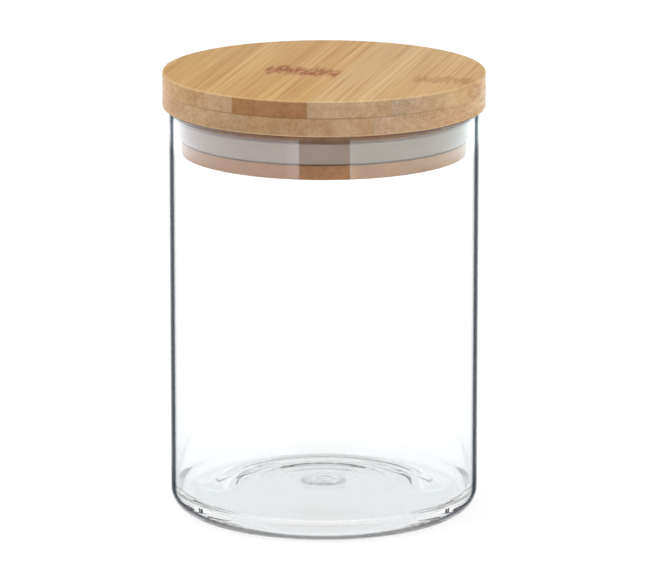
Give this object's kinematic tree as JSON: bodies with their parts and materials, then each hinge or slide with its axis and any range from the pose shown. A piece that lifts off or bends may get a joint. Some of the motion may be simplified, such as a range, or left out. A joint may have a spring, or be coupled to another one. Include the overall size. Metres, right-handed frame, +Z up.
{
  "type": "lidded glass canister",
  "caption": "Straight round glass storage jar with a plug-in bamboo lid glued up from strips and sealed by a lipped silicone ring.",
  "frame": {"origin": "centre of the foot of the jar, on the surface it stands on", "axes": "+Z up along the axis of the jar; +X to the right and +Y away when seen from the side whose lid strips lean 13 degrees to the right of straight away"},
  "size_m": [0.1042, 0.1042, 0.1446],
  "materials": {
    "glass": "clear blown borosilicate, fire polished rim",
    "silicone": "milky translucent silicone, satin",
    "bamboo": "sanded carbonised bamboo strips, thin clear oil"
  },
  "bodies": {
    "jar": {"glass_jar": "glass"},
    "seal": {"seal_ring": "silicone"},
    "lid": {"top_ply_strip_1": "bamboo", "top_ply_strip_2": "bamboo", "top_ply_strip_3": "bamboo", "top_ply_strip_4": "bamboo", "top_ply_strip_5": "bamboo", "under_ply_strip_1": "bamboo", "under_ply_strip_2": "bamboo", "under_ply_strip_3": "bamboo", "under_ply_strip_4": "bamboo", "under_ply_strip_5": "bamboo", "under_ply_strip_6": "bamboo", "plug_upper_ply_strip_1": "bamboo", "plug_upper_ply_strip_2": "bamboo", "plug_upper_ply_strip_3": "bamboo", "plug_upper_ply_strip_4": "bamboo", "plug_upper_ply_strip_5": "bamboo", "plug_lower_ply_strip_1": "bamboo", "plug_lower_ply_strip_2": "bamboo", "plug_lower_ply_strip_3": "bamboo", "plug_lower_ply_strip_4": "bamboo"}
  },
  "joints": [
    {"name": "lid_lift", "type": "slide", "parent": "jar", "child": "seal", "axis": [0, 0, 1], "range_m": [0, 0.1]},
    {"name": "lid_turn", "type": "hinge", "parent": "seal", "child": "lid", "pos_m": [0, 0, 0.139], "axis": [0, 0, 1], "continuous": true}
  ]
}
